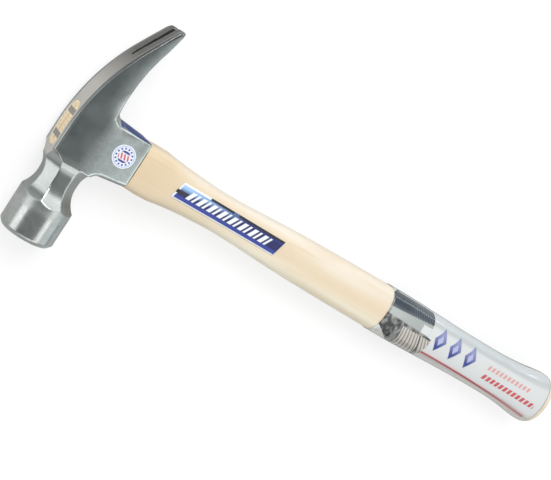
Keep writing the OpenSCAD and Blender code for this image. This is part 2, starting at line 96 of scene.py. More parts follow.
def tone(red: float, green: float, blue: float) -> Colour:
    """Linear colour of a screen colour from 0 to 255, by the sRGB curve.

    Args:
        red: Red as seen on a screen.
        green: Green as seen on a screen.
        blue: Blue as seen on a screen.

    Returns:
        The three linear shares.
    """
    shares = []
    for part in (red, green, blue):
        share = part / 255
        shares.append(share / 12.92 if share < 0.04045 else ((share + 0.055) / 1.055) ** 2.4)
    return (shares[0], shares[1], shares[2])


# Shader maths


def step(operation: str, swapped: bool = False) -> Callable[..., "Value"]:
    """Makes a method of Value that adds one Math node.

    Args:
        operation: Name of the node's operation.
        swapped: Whether the other number comes first.

    Returns:
        The method.
    """

    def run(value: "Value", *others: "Term") -> "Value":
        """Adds the node, with the value and any other number on its inputs."""
        terms = (*others, value) if swapped else (value, *others)
        return value.graph.math(operation, *terms)

    return run


class Value:
    """A number on a shader's socket, with plain arithmetic and masks."""

    __add__ = step("ADD")
    __radd__ = step("ADD", swapped=True)
    __sub__ = step("SUBTRACT")
    __rsub__ = step("SUBTRACT", swapped=True)
    __mul__ = step("MULTIPLY")
    __rmul__ = step("MULTIPLY", swapped=True)
    __truediv__ = step("DIVIDE")
    __abs__ = step("ABSOLUTE")
    most = step("MAXIMUM")
    root = step("SQRT")
    sine = step("SINE")
    fraction = step("FRACT")

    def __init__(self, graph: "Graph", socket: Socket) -> None:
        """Keeps the socket and the graph it belongs to."""
        self.graph = graph
        self.socket = socket

    def clamp(self) -> "Value":
        """The value kept between 0 and 1."""
        return self.graph.math("ADD", self, 0.0, clamp=True)

    def above(self, edge: "Term", soft: float) -> "Value":
        """Mask that rises from 0 to 1 over soft at the edge."""
        return ((self - edge) / soft + 0.5).clamp()

    def below(self, edge: "Term", soft: float) -> "Value":
        """Mask that falls from 1 to 0 over soft at the edge."""
        return 1 - self.above(edge, soft)

    def within(self, low: "Term", high: "Term", soft: float) -> "Value":
        """Mask that is 1 between low and high."""
        return self.above(low, soft) * self.below(high, soft)


Term = Union[Value, float, int]
# Masks and colours, from the lowest layer to the highest
Layers = Tuple[Tuple[Term, Any], ...]


class Graph:
    """The nodes of one material, or of the world."""

    def __init__(self, name: str, world: bool = False) -> None:
        """Starts an empty material or world with an output.

        Args:
            name: Name of the material or world.
            world: Whether it is a world.
        """
        owners = bpy.data.worlds if world else bpy.data.materials
        self.owner = owners.new(name)
        self.owner.use_nodes = True
        self.tree = self.owner.node_tree
        self.tree.nodes.clear()
        self.output = self.node("OutputWorld" if world else "OutputMaterial")

    def node(
        self,
        kind: str,
        settings: Optional[Dict[str, Any]] = None,
        sockets: Optional[Dict[Any, Any]] = None,
    ) -> bpy.types.Node:
        """Adds a node.

        Args:
            kind: Type of the node, without its prefix.
            settings: Settings by name.
            sockets: Values or links by the name or number of the socket.

        Returns:
            The node.
        """
        node = self.tree.nodes.new("ShaderNode" + kind)
        for key, value in (settings or {}).items():
            setattr(node, key, value)
        for key, value in (sockets or {}).items():
            self.feed(node.inputs[key], value)
        return node

    def feed(self, socket: Socket, value: Any) -> None:
        """Links or sets one input.

        Args:
            socket: The input.
            value: A Value, an output socket, a number, a colour or a vector.
        """
        if isinstance(value, Value):
            self.tree.links.new(value.socket, socket)
        elif isinstance(value, Socket):
            self.tree.links.new(value, socket)
        elif socket.type == "RGBA":
            socket.default_value = (*value[:3], 1.0)
        else:
            socket.default_value = value

    def math(self, operation: str, *terms: Term, clamp: bool = False) -> Value:
        """One step of arithmetic.

        Args:
            operation: Name of the Math node's operation.
            terms: Its inputs in order.
            clamp: Whether the result stays between 0 and 1.

        Returns:
            The result.
        """
        settings = {"operation": operation, "use_clamp": clamp}
        node = self.node("Math", settings, dict(enumerate(terms)))
        return Value(self, node.outputs[0])

    def mix(self, share: Term, first: Any, second: Any) -> Socket:
        """Blend of two colours.

        Args:
            share: How much of the second colour shows.
            first: Colour or socket.
            second: Colour or socket.

        Returns:
            The blended colour's socket.
        """
        settings = {"data_type": "RGBA", "blend_type": "MIX"}
        node = self.node("Mix", settings, {0: share, 6: first, 7: second})
        return node.outputs[2]

    def layers(self, base: Any, *layers: Tuple[Term, Any]) -> Socket:
        """Colour built of layers, each over the one before it.

        Args:
            base: Lowest colour.
            layers: Mask and colour of each layer.

        Returns:
            The colour's socket.
        """
        colour = base
        for mask, paint in layers:
            colour = self.mix(mask, colour, paint)
        return colour

    def coordinates(self) -> Socket:
        """The piece's own coordinates, in metres."""
        return self.node("TexCoord").outputs["Object"]

    def design(self) -> Tuple[Value, Value, Value]:
        """Splits the piece's own coordinates.

        Returns:
            The design's x, y and z, in millimetres.
        """
        parts = self.node("SeparateXYZ", {}, {0: self.coordinates()})
        x, y, z = (Value(self, out) / MM for out in parts.outputs)
        return x - SHIFT.x, y - SHIFT.y, z - SHIFT.z

    def noise(
        self, stretch: Sequence[float], detail: float = 3.0, roughness: float = 0.5, twist: float = 0.0
    ) -> Value:
        """Noise in the piece's own coordinates, from 0 to 1.

        Args:
            stretch: Waves per metre along each axis.
            detail: Number of finer layers.
            roughness: Weight of the finer layers.
            twist: How much it is warped.

        Returns:
            The noise.
        """
        mapping = self.node("Mapping", {}, {"Vector": self.coordinates(), "Scale": tuple(stretch)})
        sockets = {
            "Vector": mapping.outputs[0],
            "Scale": 1.0,
            "Detail": detail,
            "Roughness": roughness,
            "Distortion": twist,
        }
        return Value(self, self.node("TexNoise", {}, sockets).outputs[0])

    def bump(self, height: Value) -> Socket:
        """Normal of a height in millimetres."""
        sockets = {"Strength": 1.0, "Distance": MM, "Height": height}
        return self.node("Bump", {}, sockets).outputs[0]

    def finish(self, **sockets: Any) -> Material:
        """Closes the material with its surface.

        Args:
            sockets: Inputs of the surface, with underlines for spaces.

        Returns:
            The material.
        """
        inputs = {name.replace("_", " "): value for name, value in sockets.items()}
        surface = self.node("BsdfPrincipled", {}, inputs)
        self.tree.links.new(surface.outputs[0], self.output.inputs[0])
        return self.owner


# The handle's form


@dataclass(frozen=True)
class HandleForm:
    """Outside of the handle: the same sections as the CAD, in design millimetres."""

    start: float = 29.85
    end: float = 390.525
    rim: float = 5.0
    joint: Section = (28.2, 22.0, 4.2)
    bulge: float = 29.3
    throat: Section = (23.1, 19.0, 2.9)
    swell: Section = (31.8, 25.0, 2.35)
    waist: Section = (30.0, 24.0, 2.35)
    butt: Section = (37.6, 28.4, 2.15)

    def rows(self) -> List[Tuple[float, ...]]:
        """The sections that the form runs through.

        Returns:
            Shares of the length, each with a depth, a thickness and a squareness.
        """
        joint_h, joint_w, joint_n = self.joint
        throat_h, throat_w, throat_n = self.throat
        bulge_w = (joint_w + self.swell[1]) / 2
        shoulder_w = (joint_w + bulge_w) / 2
        to_swell = ((0.222, 0.14), (0.296, 0.48), (0.372, 0.70), (0.5, 0.91))
        to_butt = ((0.85, 0.06), (0.907, 0.36), (0.945, 0.78))
        return [
            (0.0, joint_h, joint_w, joint_n),
            (0.016, (joint_h + 2 * self.bulge) / 3, shoulder_w, joint_n),
            (0.032, self.bulge, shoulder_w, joint_n),
            (0.062, (throat_h + 2 * self.bulge) / 3, joint_w, (joint_n + throat_n) / 2),
            (0.098, (2 * throat_h + self.bulge) / 3, (joint_w + throat_w) / 2, throat_n),
            (0.165, *self.throat),
            *self.between(self.throat, self.swell, to_swell),
            (0.59, *self.swell),
            *self.between(self.swell, self.waist, ((0.68, 0.5),)),
            (0.765, *self.waist),
            *self.between(self.waist, self.butt, to_butt),
            (0.972, *self.butt),
            (1.0, *self.butt),
        ]

    @staticmethod
    def between(
        first: Sequence[float], last: Sequence[float], shares: Sequence[Pair]
    ) -> List[Tuple[float, ...]]:
        """Rows between two sections, each at a share of the length and of the change.

        Args:
            first: Depth, thickness and squareness at the start.
            last: The same at the end.
            shares: Share of the length and share of the change, for each row.

        Returns:
            The rows.
        """
        return [
            (along, *(a + share * (b - a) for a, b in zip(first, last))) for along, share in shares
        ]

    def value(self, column: int, along: float) -> float:
        """A column of the rows at a share of the length, smooth and without overshoot.

        Args:
            column: 1 for the depth, 2 for the thickness and 3 for the squareness.
            along: Share of the length.

        Returns:
            The value.
        """
        rows = self.rows()
        rises = [(b[column] - a[column]) / (b[0] - a[0]) for a, b in zip(rows, rows[1:])]
        # The slope at a row is the harmonic mean of its two sides, and none at a peak
        inner = [0.0 if a * b <= 0 else 2 * a * b / (a + b) for a, b in zip(rises, rises[1:])]
        slopes = [rises[0], *inner, rises[-1]]
        i = max([0] + [k for k in range(len(rises)) if rows[k][0] <= along])
        width = rows[i + 1][0] - rows[i][0]
        t = (along - rows[i][0]) / width
        return (
            (2 * t ** 3 - 3 * t * t + 1) * rows[i][column]
            + (t ** 3 - 2 * t * t + t) * width * slopes[i]
            + (3 * t * t - 2 * t ** 3) * rows[i + 1][column]
            + (t ** 3 - t * t) * width * slopes[i + 1]
        )

    def section(self, x: float) -> Section:
        """The section at a place, smaller in the butt's rounded rim.

        Args:
            x: Place along the handle.

        Returns:
            Half depth, half thickness and squareness.
        """
        along = (x - self.start) / (self.end - self.start)
        inset = 0.0
        if x > self.end - self.rim:
            inset = self.rim - math.sqrt(max(0.0, self.rim ** 2 - (x - self.end + self.rim) ** 2))
        half_depth, half_width = (self.value(column, along) / 2 - inset for column in (1, 2))
        return half_depth, half_width, self.value(3, along)

    def on_ring(self, section: Sequence[float], x: float, turn: float, lift: float) -> Vector:
        """Point of the outside.

        Args:
            section: Half depth, half thickness and squareness there.
            x: Place along the handle.
            turn: Turns round the handle from the middle of its upper side, from -0.5 to 0.5.
            lift: How far the point lies outside the wood.

        Returns:
            The point in the frame.
        """
        angle = math.tau * turn
        power = 2 / section[2]
        across = math.copysign(abs(math.sin(angle)) ** power, math.sin(angle))
        upward = math.copysign(abs(math.cos(angle)) ** power, math.cos(angle))
        return place(x, (section[0] + lift) * across, (section[1] + lift) * upward)

    def over(self, x: float, y: float, lift: float) -> Vector:
        """Point above the upper side at x and at the distance y from the centre line."""
        depth, width, power = self.section(x)
        return place(x, y, width * (1 - (abs(y) / depth) ** power) ** (1 / power) + lift)


@dataclass(frozen=True)
class LabelForm:
    """Place and size of the long label on the handle, in design millimetres."""

    middle: float = 93.5
    rise: float = 0.8
    length: float = 75.5
    width: float = 10.8
    lean: float = 3.0


# Making pieces


def new_object(name: str, data: bpy.types.ID) -> Object:
    """Puts an object in the scene.

    Args:
        name: Name of the object.
        data: Its mesh, lamp or camera.

    Returns:
        The object.
    """
    item = bpy.data.objects.new(name, data)
    bpy.context.scene.collection.objects.link(item)
    return item


def new_piece(name: str, bm: bmesh.types.BMesh, material: Material) -> Object:
    """Turns a bmesh into a smooth-shaded object of the scene.

    Args:
        name: Name of the piece.
        bm: Its mesh, which is freed.
        material: Its finish.

    Returns:
        The object.
    """
    mesh = bpy.data.meshes.new(name)
    for face in bm.faces:
        face.smooth = True
    bm.to_mesh(mesh)
    bm.free()
    mesh.materials.append(material)
    return new_object(name, mesh)


def merged_copy(node: Object, sharp: float) -> bmesh.types.BMesh:
    """Copy of a CAD node with its corners joined and its flat faces made one.

    Args:
        node: The CAD node.
        sharp: Angle in degrees from which an edge stays hard.

    Returns:
        The copy's mesh.
    """
    bm = bmesh.new()
    bm.from_mesh(node.data)
    bmesh.ops.remove_doubles(bm, verts=bm.verts, dist=WELD)
    bmesh.ops.dissolve_limit(
        bm, angle_limit=math.radians(FLAT), use_dissolve_boundaries=False, verts=bm.verts, edges=bm.edges
    )
    limit = math.radians(sharp)
    for edge in bm.edges:
        edge.smooth = edge.calc_face_angle(math.pi) < limit
    return bm


def refinish(node: Object, material: Material) -> None:
    """Gives a CAD node its finish."""
    node.data.materials.clear()
    node.data.materials.append(material)


def dress(piece: Object, slot: str, *nodes: str) -> None:
    """Ties a new piece to the frame.

    Args:
        piece: The piece.
        slot: The record's material slot; not used.
        nodes: CAD nodes that it stands for.
    """
    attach(piece, "root")
    if nodes:
        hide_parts(*nodes)


# Finishes


@dataclass(frozen=True)
class GroundSteel:
    """Ground and polished steel with painted dark reflections on the cheeks and claw tips, painted
    highlights and shade, and blue paint by the eye.
    """

    base: Colour = (0.62, 0.64, 0.63)
    # Painted shade: a darker tone on the neck's facets
    neck_shade: Colour = (0.58, 0.60, 0.59)
    # Painted reflections on the bell: a lighter tone, and a darker, warmer one on its half towards the
    # handle
    lit_bell: Colour = (0.76, 0.765, 0.75)
    shaded_bell_side: Colour = (0.46, 0.45, 0.41)
    # Painted reflection: the cheek turns lighter and bluer towards the adze
    eye: Colour = (0.66, 0.73, 0.725)
    # Painted highlight where the cheek rolls off towards the claw's underside and the adze
    bright: Colour = (0.84, 0.89, 0.88)
    worn: Colour = (0.45, 0.49, 0.47)
    # Painted dark reflection on the polished cheek, in two mottled tones
    cheek_shade: Colour = (0.255, 0.285, 0.285)
    cheek_shade_pale: Colour = (0.33, 0.36, 0.355)
    # Painted shade on the claw's top towards the tips, where it mirrors the hammer's shadow on the floor
    tip_shade: Colour = (0.20, 0.20, 0.19)
    # Painted shade inside the nail slot
    slot_shade: Colour = (0.03, 0.03, 0.03)
    # Painted shade along the edges between the claw's top and its cheeks, which dulls their highlight
    rim_shade: Colour = (0.16, 0.16, 0.16)
    # Painted highlight: the crown's strip is lighter where it mirrors the floor; its extra roughness is
    # a ground finish
    crown: Colour = (0.90, 0.87, 0.82)
    paint: Colour = tone(36, 56, 116)
    # Forms of the CAD that the finish follows: the adze's side, the nail slot and the crown's arc
    adze_half: float = 17.7
    adze_slope: float = 0.1111
    side_flat: float = 4.2
    side_fall: float = 0.3026
    side_fade: float = 0.0945
    fade_start: float = 11.4
    slot_root: Pair = (50.2, 1.1)
    slot_slope: float = 0.0571
    crown_middle: Pair = (110.9, -3.0)
    crown_r: float = 126.0
    # The painted shade in the nail slot, measured from its sides and from its root
    slot_margin: Edge = (0.25, 0.2)
    slot_lead: Edge = (-1.2, 0.4)
    # Edge of the cheek's painted dark reflection, with its rises along y (place, width and height) and
    # its dent
    cheek_shade_x: float = 1.5
    cheek_shade_soft: float = 4.6
    cheek_shade_rises: Tuple[Span, ...] = ((4, 8, 2.3), (28, 8, 2.2))
    claw_y: float = 45.0
    claw_lean: float = 0.3
    dent: float = 2.5
    dent_y: float = 25.0
    dent_half: float = 9.0
    ragged: float = 3.0
    # Areas along the handle (x), along the head (y), out of the middle (z) and below the crown
    cheek_z: Edge = (9.4, 1.4)
    cheek_shade_y: Edge = (-14.5, 3)
    broken_depth: Edge = (1.7, 1.2)
    broken_y: Edge = (6, 18)
    tip_shade_y: Edge = (39, 26)
    crown_depth: Edge = (0.8, 0.7)
    crown_y: Edge = (-19, 3)
    rim_depth: Edge = (0.9, 0.4)
    rim_z: Edge = (11.3, 0.4)
    rim_y: Edge = (34, 18)
    highlight_y: Edge = (8, 7)
    highlight_x: Edge = (7, 4)
    highlight_fade: Edge = (19, 7)
    eye_x: Edge = (4, 6)
    neck_shade_y: Span = (-41, -17, 3)
    neck_shade_x: Edge = (-1, 4)
    facet_y: Span = (-30, -17, 3)
    facet_x: Span = (0, 9, 3)
    bell_y: Edge = (-44, 3)
    bell_shade_x: Edge = (2, 5)
    shoulder_y: Span = (-47, -39, 3)
    adze_end_middle: Pair = (26, 9)
    adze_end_r: float = 6.0
    # The paint: its edge and its reach, and how the edge moves outwards towards the crown
    paint_edge: Edge = (-0.3, 0.3)
    paint_x: Span = (8.8, 29.4, 0.6)
    paint_y: Edge = (22, 0.5)
    thin_x: float = 21.0
    thin_slope: float = 0.02

    def make(self) -> Material:
        """Builds the material.

        Returns:
            The material.
        """
        g = Graph("ground_steel")
        x, y, z = g.design()
        patches = g.noise((55, 55, 55), detail=3, roughness=0.55)
        specks = g.noise((420, 420, 420), detail=3, roughness=0.6)
        lines = g.noise((160, 1500, 1500), detail=2, roughness=0.6)
        depth = self.below_crown(x, y)
        cheek = abs(z).above(*self.cheek_z)
        # Painted dark reflection over the cheek towards the crown
        cheek_shade = cheek * self.cheek_shade_area(x, y, depth, patches)
        # Painted shade on the claw's top towards the tips
        tip_shade = (1 - cheek) * y.above(*self.tip_shade_y) * 0.9
        # Painted highlight on the crown's strip, which is also rougher
        crown = (1 - cheek) * depth.below(*self.crown_depth) * y.above(*self.crown_y)
        # Painted shade along the claw's top edges towards the tips
        rim = depth.below(*self.rim_depth) * abs(z).above(*self.rim_z) * y.above(*self.rim_y)
        # Painted highlight along the cheek's roll-off
        bright = cheek * y.above(*self.highlight_y) * x.above(*self.highlight_x)
        bright = bright * (1 - x.above(*self.highlight_fade) * 0.75)
        # Painted shade on the neck's facets
        facet = y.within(*self.facet_y) * x.within(*self.facet_x)
        neck_shade = y.within(*self.neck_shade_y) * x.below(*self.neck_shade_x) + facet
        # A darker patch on the cheek near the adze's end
        off_x, off_y = abs(x - self.adze_end_middle[0]), abs(y - self.adze_end_middle[1])
        adze_end_patch = cheek * (1 - off_x / self.adze_end_r - off_y / self.adze_end_r).clamp()
        paint = self.painted(x, y, z)
        colour = g.layers(
            self.base,
            (neck_shade, self.neck_shade),
            # Painted reflections on the bell, lighter and shaded
            (y.below(*self.bell_y), g.mix(x.above(*self.bell_shade_x), self.lit_bell, self.shaded_bell_side)),
            # Painted reflection, lighter towards the adze
            (cheek * x.above(*self.eye_x), self.eye),
            (bright * 0.8, self.bright),
            (patches.above(0.52, 0.34) * 0.6 + specks.above(0.56, 0.3) * 0.3, self.worn),
            (adze_end_patch, self.worn),
            (cheek_shade, g.mix(patches.above(0.5, 0.3), self.cheek_shade, self.cheek_shade_pale)),
            (crown, self.crown),
            (tip_shade, self.tip_shade),
            (rim, self.rim_shade),
            (self.slot_area(y, z), self.slot_shade),
            (paint, self.paint),
        )
        rough = 0.16 + patches * 0.1 + lines * 0.05 + paint * 0.15 + cheek_shade * 0.06
        rough = rough + tip_shade * 0.12 + crown * 0.22 + y.within(*self.shoulder_y) * 0.12
        return g.finish(
            Base_Color=colour,
            Metallic=1 - paint,
            Roughness=rough,
            Normal=g.bump(lines * 0.004 + patches * 0.03 + specks * 0.002),
        )

    def below_crown(self, x: Value, y: Value) -> Value:
        """How far a place lies below the crown's line.

        Args:
            x: Place along the handle.
            y: Place along the head.

        Returns:
            The depth.
        """
        run = x - self.crown_middle[0]
        rise = (y - self.crown_middle[1]).most(0)
        return self.crown_r - (run * run + rise * rise).root()

    def cheek_shade_area(self, x: Value, y: Value, depth: Value, patches: Value) -> Value:
        """Mask of the cheek's painted dark reflection, which leaves out a strip along the crown towards
        the poll.

        Args:
            x: Place along the handle.
            y: Place along the head.
            depth: How far the place lies below the crown.
            patches: Soft noise.

        Returns:
            The mask.
        """
        edge = (y - self.claw_y).most(0) * self.claw_lean + self.cheek_shade_x
        for middle, soft, height in self.cheek_shade_rises:
            edge = edge + y.above(middle, soft) * height
        edge = edge - (1 - abs(y - self.dent_y) / self.dent_half).clamp() * self.dent
        edge = edge + (patches - 0.5) * self.ragged
        broken = depth.below(*self.broken_depth) * y.below(*self.broken_y)
        return x.below(edge, self.cheek_shade_soft) * y.above(*self.cheek_shade_y) * (1 - broken)

    def slot_area(self, y: Value, z: Value) -> Value:
        """Mask of the painted shade in the nail slot and on its rim.

        Args:
            y: Place along the head.
            z: Distance from the middle plane.

        Returns:
            The mask.
        """
        root_y, root_half = self.slot_root
        (margin, soft), (lead, lead_soft) = self.slot_margin, self.slot_lead
        half = (y - root_y) * self.slot_slope + root_half
        return abs(z).below(half + margin, soft) * y.above(root_y + lead, lead_soft)

    def painted(self, x: Value, y: Value, z: Value) -> Value:
        """Mask of the paint, which stops at the turn from the adze's side to its cheek.

        Args:
            x: Place along the handle.
            y: Place along the head.
            z: Distance from the middle plane.

        Returns:
            The mask.
        """
        side = self.adze_half - x * self.adze_slope
        turned = (abs(z) - self.side_flat).most(0) * self.side_fall
        fall = (turned - (x - self.fade_start) * self.side_fade).most(0)
        thin = (self.thin_x - x).most(0) * self.thin_slope
        edge = (y + fall - side - thin).above(*self.paint_edge)
        return edge * x.within(*self.paint_x) * y.below(*self.paint_y)


@dataclass(frozen=True)
class PaleWood:
    """Pale straight-grained hardwood under clear lacquer, with end grain in the eye."""

    light: Colour = tone(232, 215, 188)
    deep: Colour = tone(225, 201, 163)
    streak: Colour = tone(212, 180, 132)
    sheen: Colour = tone(237, 229, 216)
    # Painted light: the lower side is made lighter, as the lamps leave it darker
    lit_underside: Colour = tone(255, 247, 226)
    tan: Colour = tone(224, 203, 170)
    end_light: Colour = tone(250, 232, 200)
    end_deep: Colour = tone(236, 200, 146)
    # Areas along the handle (x) and across it (y)
    sheen_x: Edge = (45, 30)
    sheen_y: Edge = (5, 9)
    lit_underside_x: Edge = (72, 40)
    lit_underside_y: Edge = (-6, 8)
    tan_x: Edge = (54, 22)
    tenon_x: Edge = (20, 1)
    # Year rings in the end grain: radians per millimetre, and how far noise bends them
    ring_rate: float = 2.6
    ring_bend: float = 7.0

    def make(self) -> Material:
        """Builds the material.

        Returns:
            The material.
        """
        g = Graph("pale_wood")
        x, y, _ = g.design()
        broad = g.noise((9, 60, 60), detail=2, roughness=0.5, twist=0.6)
        grain = g.noise((14, 700, 700), detail=4, roughness=0.6, twist=0.3)
        pores = g.noise((60, 2600, 2600), detail=2, roughness=0.5)
        bends = g.noise((120, 120, 120), detail=2)
        side = g.layers(
            self.light,
            (y.above(*self.sheen_y) * x.above(*self.sheen_x) * 0.8, self.sheen),
            # Painted light on the lower side
            (y.below(*self.lit_underside_y) * x.above(*self.lit_underside_x) * 0.95, self.lit_underside),
            (x.below(*self.tan_x) * broad.above(0.4, 0.5), self.tan),
            (broad.above(0.55, 0.4) * 0.75, self.deep),
            (grain.above(0.66, 0.16) * 0.32, self.streak),
            (pores.above(0.7, 0.1) * 0.18, self.streak),
        )
        rings = (y * self.ring_rate + bends * self.ring_bend).sine() * 0.5 + 0.5
        end = g.layers(
            self.end_light,
            (rings * 0.45, self.end_deep),
            (pores.above(0.6, 0.2) * 0.3, self.end_deep),
        )
        tenon = x.below(*self.tenon_x)
        return g.finish(
            Base_Color=g.mix(tenon, side, end),
            Roughness=0.36 + grain * 0.14 + tenon * 0.15,
            Coat_Weight=0.25 - tenon * 0.2,
            Coat_Roughness=0.16,
            Normal=g.bump(grain * 0.02 + pores * 0.01),
        )


@dataclass(frozen=True)
class WedgeWood:
    """Bare wood of the wedge in the lengthwise slot."""

    light: Colour = tone(242, 222, 184)
    deep: Colour = tone(220, 186, 136)

    def make(self) -> Material:
        """Builds the material.

        Returns:
            The material.
        """
        g = Graph("wedge_wood")
        fibres = g.noise((900, 300, 2400), detail=3, roughness=0.6)
        return g.finish(Base_Color=g.mix(fibres, self.light, self.deep), Roughness=0.6 + fibres * 0.2)


@dataclass(frozen=True)
class WedgeSteel:
    """Steel of the wedges, ground flush with the crown."""

    light: Colour = (0.58, 0.60, 0.59)
    deep: Colour = (0.45, 0.46, 0.45)

    def make(self) -> Material:
        """Builds the material.

        Returns:
            The material.
        """
        g = Graph("wedge_steel")
        lines = g.noise((900, 120, 1800), detail=3, roughness=0.6)
        colour = g.mix(lines, self.light, self.deep)
        return g.finish(Base_Color=colour, Metallic=1.0, Roughness=0.3 + lines * 0.2)


@dataclass(frozen=True)
class SleeveBand:
    """The patterned band at the start of the sleeve: ringed above, dark below and pale between."""

    slate: Colour = tone(76, 86, 93)
    slate_line: Colour = tone(116, 126, 134)
    mist: Colour = tone(170, 176, 174)
    soot: Colour = tone(50, 54, 54)
    dust: Colour = tone(152, 152, 149)
    linen: Colour = tone(206, 200, 192)
    thread: Colour = tone(120, 114, 106)
    # Its two ends, and how far they bend for each millimetre past a place
    start: float = 222.4
    end: float = 261.5
    soft: float = 0.5
    ragged: float = 2.4
    top_y: float = 13.0
    top_bend: float = 0.5
    low_y: float = -7.6
    low_bend: float = 2.0
    side_z: float = 6.5
    side_bend: float = 1.1
    far_y: Edge = (0, 2)
    longer_y: Edge = (0.5, 0.4)
    longer: float = 3.5
    # The ringed area above, with the rings' middle and radians per millimetre
    origin: float = 222.0
    ringed_y: float = 6.6
    ringed_slope: float = 0.06
    area_soft: float = 0.6
    ring_middle: Pair = (262, 17)
    ring_rate: float = 3.0
    ring_bend: float = 3.0
    ring_x: Edge = (240, 8)
    # The dark area below, and the fan of threads, the seam and the patch over it
    dark_y: float = 2.0
    dark_slope: float = 0.03
    fan_middle: Pair = (240, -1)
    fan_lean: float = 0.24
    fan_spread: float = 0.016
    fan_rate: float = 2.5
    fan_x: Edge = (239, 0.7)
    fan_slope: float = 0.3
    fan_y: Edge = (-0.9, 0.5)
    seam_x: float = 255.5
    seam_slope: float = 0.5
    seam: Span = (-0.5, 0.5, 0.4)
    seam_y: Edge = (-1, 0.5)
    patch_x: Edge = (253.5, 0.5)
    patch_y: Span = (1.2, 6.8, 0.5)

    def layers(self, g: Graph, x: Value, y: Value, z: Value, wobble: Value, plain: Colour) -> Layers:
        """The band, layer by layer.

        Args:
            g: The graph.
            x: Place along the handle.
            y: Distance from the centre line.
            z: Distance from the middle plane.
            wobble: Soft noise.
            plain: Colour of the bare film.

        Returns:
            The masks and colours.
        """
        whole = self.whole(x, y, z, wobble)
        run, rise = x - self.ring_middle[0], y - self.ring_middle[1]
        away = (run * run + rise * rise).root()
        rings = (away * self.ring_rate + wobble * self.ring_bend).sine().above(0.1, 1.0)
        rings = rings * x.above(*self.ring_x)
        top = y.above(self.ringed_y + (x - self.origin) * self.ringed_slope, self.area_soft)
        low = y.below(self.dark_y - (x - self.origin).most(0) * self.dark_slope, self.area_soft)
        blots = g.noise((240, 200, 200), detail=3, roughness=0.6).above(0.5, 0.16)
        along, across = x - self.fan_middle[0], y - self.fan_middle[1]
        turn = (along + across * (self.fan_lean + along * self.fan_spread)) * self.fan_rate
        threads = turn.sine().above(0.55, 0.6) * 0.9
        fan = x.above(self.fan_x[0] - across * self.fan_slope, self.fan_x[1]) * y.below(*self.fan_y)
        seam = (x - self.seam_x + across * self.seam_slope).within(*self.seam) * y.below(*self.seam_y)
        patch = y.within(*self.patch_y) * x.above(*self.patch_x)
        return (
            (whole, self.mist),
            (whole * top, g.layers(self.slate, (rings * 0.8, self.slate_line))),
            (whole * low, g.layers(self.soot, (blots, self.dust))),
            (whole * low * fan, g.layers(self.linen, (threads, self.thread))),
            (whole * seam, self.soot),
            (whole * patch, plain),
        )

    def whole(self, x: Value, y: Value, z: Value, wobble: Value) -> Value:
        """Mask of the whole band between its bent start and its ragged end.

        Args:
            x: Place along the handle.
            y: Distance from the centre line.
            z: Distance from the middle plane.
            wobble: Soft noise.

        Returns:
            The mask.
        """
        low = (self.low_y - y).most(0) * self.low_bend
        side = (self.side_z - z).most(0) * y.above(*self.far_y) * self.side_bend
        top = (y - self.top_y).most(0) * self.top_bend
        longer = y.below(*self.longer_y) * self.longer
        end = self.end + (wobble - 0.5) * self.ragged - top + longer
        return x.above(self.start + low + side, self.soft) * x.below(end, self.soft)


@dataclass(frozen=True)
class SleeveStripe:
    """The long bowed stripe of the sleeve, with its pink edges."""

    red: Colour = tone(178, 92, 98)
    pink: Colour = tone(238, 182, 182)
    start: float = 265.7
    length: float = 52.3
    level: float = -10.0
    rise: float = 0.466
    bow: float = 1.166
    reach: Span = (262, 378, 0.5)
    half: Edge = (0.55, 0.4)
    edge_half: Edge = (1.25, 0.7)
    fade_x: Edge = (345, 40)

    def layers(self, x: Value, y: Value) -> Layers:
        """The stripe over its edges.

        Args:
            x: Place along the handle.
            y: Distance from the centre line.

        Returns:
            The masks and colours.
        """
        share = (x - self.start) / self.length
        off = abs(y - self.level - share * self.rise + share * share * self.bow)
        reach = x.within(*self.reach)
        return (
            (off.below(*self.edge_half) * reach * 0.85, self.pink),
            (off.below(*self.half) * reach * (1 - x.above(*self.fade_x) * 0.45), self.red),
        )


@dataclass(frozen=True)
class DashRow:
    """A row of plain leaning dashes on the sleeve: the ink is a share of each step."""

    colour: Colour
    weight: float
    level: float
    slope: float
    half: float
    reach: Span
    step: float
    ink: Span
    soft: float = 0.3
    lean: float = 0.35

    def layer(self, x: Value, y: Value) -> Tuple[Value, Colour]:
        """The row.

        Args:
            x: Place along the handle.
            y: Distance from the centre line.

        Returns:
            The mask and the colour.
        """
        off = y - self.level - (x - self.reach[0]) * self.slope
        row = off.within(-self.half, self.half, self.soft) * x.within(*self.reach)
        dashes = ((x - y * self.lean) / self.step).fraction().within(*self.ink)
        return (row * dashes * self.weight, self.colour)


@dataclass(frozen=True)
class SleeveGems:
    """The sleeve's row of plain pointed shapes: deep below, paler above and pale in the middle."""

    deep: Colour = tone(44, 62, 146)
    pale: Colour = tone(186, 190, 226)
    middles: Tuple[float, ...] = (272.5, 287.5, 303.0)
    level: float = 3.0
    lean: float = 0.1
    half_length: float = 5.4
    half_height: float = 8.5
    soft: float = 0.1
    heart: float = 0.45
    pale_y: Edge = (3, 9)

    def mask(self, x: Value, y: Value, size: float) -> Term:
        """Mask of the row.

        Args:
            x: Place along the handle.
            y: Distance from the centre line.
            size: Share of the full size.

        Returns:
            The mask.
        """
        mask: Term = 0.0
        up = y - self.level
        for middle in self.middles:
            along = abs(x - middle - up * self.lean) / (self.half_length * size)
            reach = along + abs(up) / (self.half_height * size)
            mask = reach.below(1.0, self.soft / size) + mask
        return mask

    def layers(self, g: Graph, x: Value, y: Value) -> Layers:
        """The shapes, with a paler middle in each."""
        body = g.mix(y.above(*self.pale_y) * 0.6, self.deep, self.pale)
        return ((self.mask(x, y, 1.0), body), (self.mask(x, y, self.heart), self.pale))


